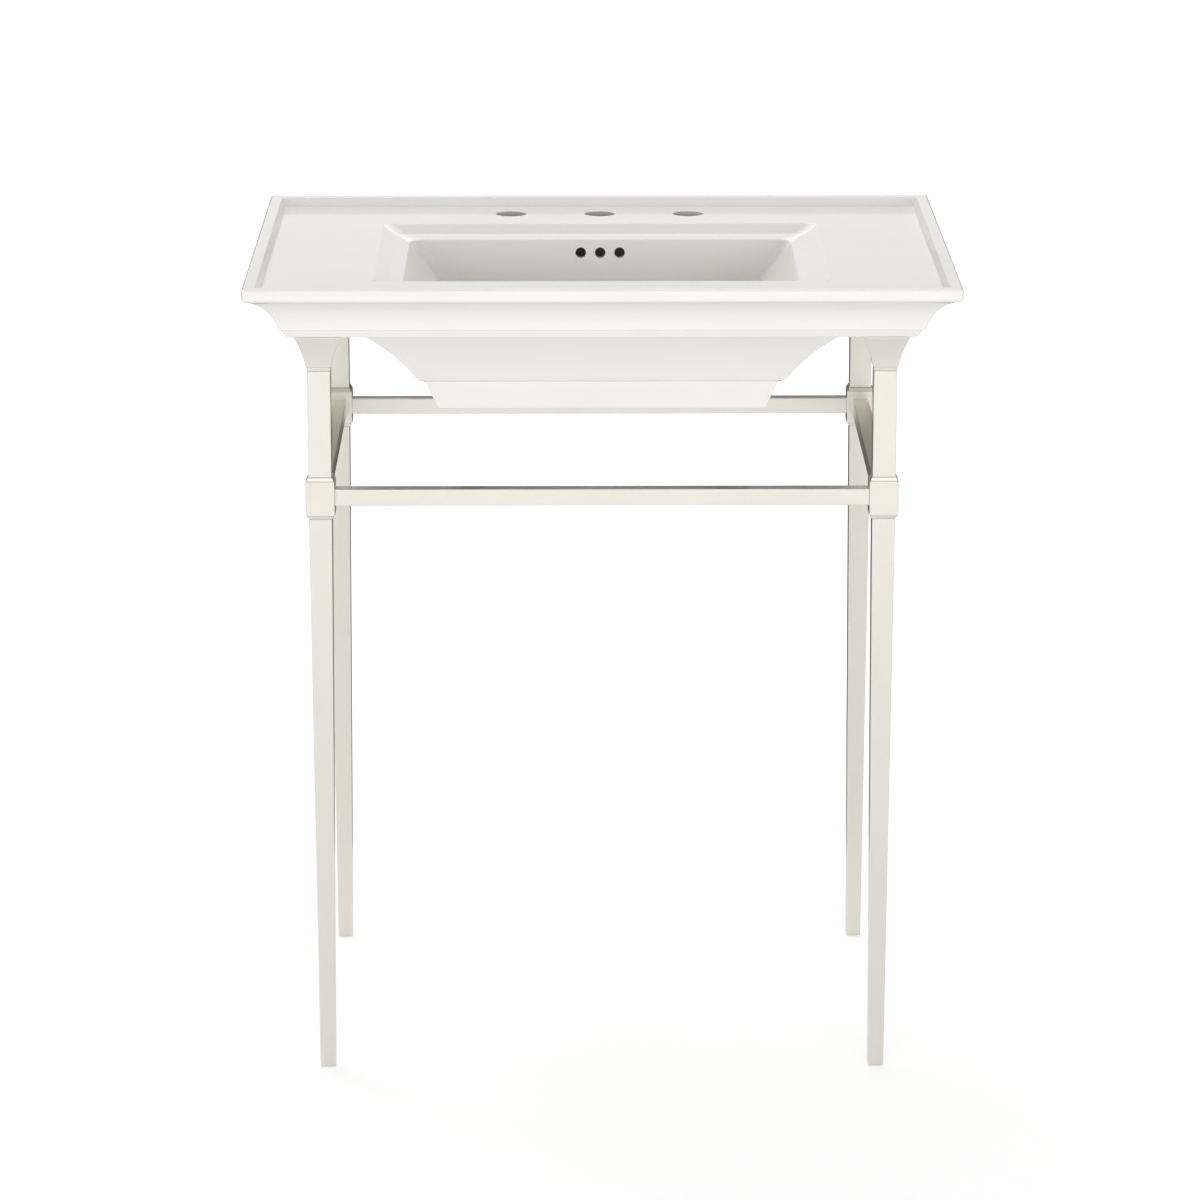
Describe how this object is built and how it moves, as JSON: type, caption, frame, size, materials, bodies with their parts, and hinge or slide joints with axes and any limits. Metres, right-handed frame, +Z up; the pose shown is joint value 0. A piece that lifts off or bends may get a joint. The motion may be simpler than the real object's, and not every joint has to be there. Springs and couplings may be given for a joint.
{
  "type": "console sink",
  "caption": "Rectangular ceramic sink top with a moulded edge and a bowl skirt, on a metal stand with tapered square legs, rails and levelling feet.",
  "frame": {"origin": "on the floor, under the middle of the sink top", "axes": "+X to the right and +Y to the wall as seen from the front, +Z up"},
  "size_m": [0.762, 0.572, 0.89],
  "materials": {
    "ceramic": "warm white gloss glaze",
    "nickel": "satin brushed nickel plate",
    "fixings": "plain zinc-plated steel",
    "pad": "translucent soft rubber",
    "nylon": "plain moulded nylon"
  },
  "bodies": {
    "console": {"basin": "ceramic", "front_left_capital": "nickel", "front_left_upper_post": "nickel", "front_left_joint_block": "nickel", "front_left_lower_leg": "nickel", "front_left_cushion_pad": "pad", "front_left_leg_plug": "fixings", "front_left_tie_rod": "fixings", "front_left_tie_nut": "fixings", "front_left_foot_insert": "fixings", "front_right_capital": "nickel", "front_right_upper_post": "nickel", "front_right_joint_block": "nickel", "front_right_lower_leg": "nickel", "front_right_cushion_pad": "pad", "front_right_leg_plug": "fixings", "front_right_tie_rod": "fixings", "front_right_tie_nut": "fixings", "front_right_foot_insert": "fixings", "rear_left_capital": "nickel", "rear_left_upper_post": "nickel", "rear_left_joint_block": "nickel", "rear_left_lower_leg": "nickel", "rear_left_cushion_pad": "pad", "rear_left_leg_plug": "fixings", "rear_left_tie_rod": "fixings", "rear_left_tie_nut": "fixings", "rear_left_foot_insert": "fixings", "rear_right_capital": "nickel", "rear_right_upper_post": "nickel", "rear_right_joint_block": "nickel", "rear_right_lower_leg": "nickel", "rear_right_cushion_pad": "pad", "rear_right_leg_plug": "fixings", "rear_right_tie_rod": "fixings", "rear_right_tie_nut": "fixings", "rear_right_foot_insert": "fixings", "front_rail": "nickel", "front_rail_screws": "fixings", "rear_rail": "nickel", "rear_rail_screws": "fixings", "left_rail": "nickel", "left_rail_screws": "fixings", "right_rail": "nickel", "right_rail_screws": "fixings"},
    "front_left_foot": {"front_left_levelling_foot": "nylon"},
    "front_right_foot": {"front_right_levelling_foot": "nylon"},
    "rear_left_foot": {"rear_left_levelling_foot": "nylon"},
    "rear_right_foot": {"rear_right_levelling_foot": "nylon"}
  },
  "joints": [
    {"name": "front_left_foot_height", "type": "slide", "parent": "console", "child": "front_left_foot", "axis": [0, 0, -1], "range_m": [0, 0.012]},
    {"name": "front_right_foot_height", "type": "slide", "parent": "console", "child": "front_right_foot", "axis": [0, 0, -1], "range_m": [0, 0.012]},
    {"name": "rear_left_foot_height", "type": "slide", "parent": "console", "child": "rear_left_foot", "axis": [0, 0, -1], "range_m": [0, 0.012]},
    {"name": "rear_right_foot_height", "type": "slide", "parent": "console", "child": "rear_right_foot", "axis": [0, 0, -1], "range_m": [0, 0.012]}
  ]
}
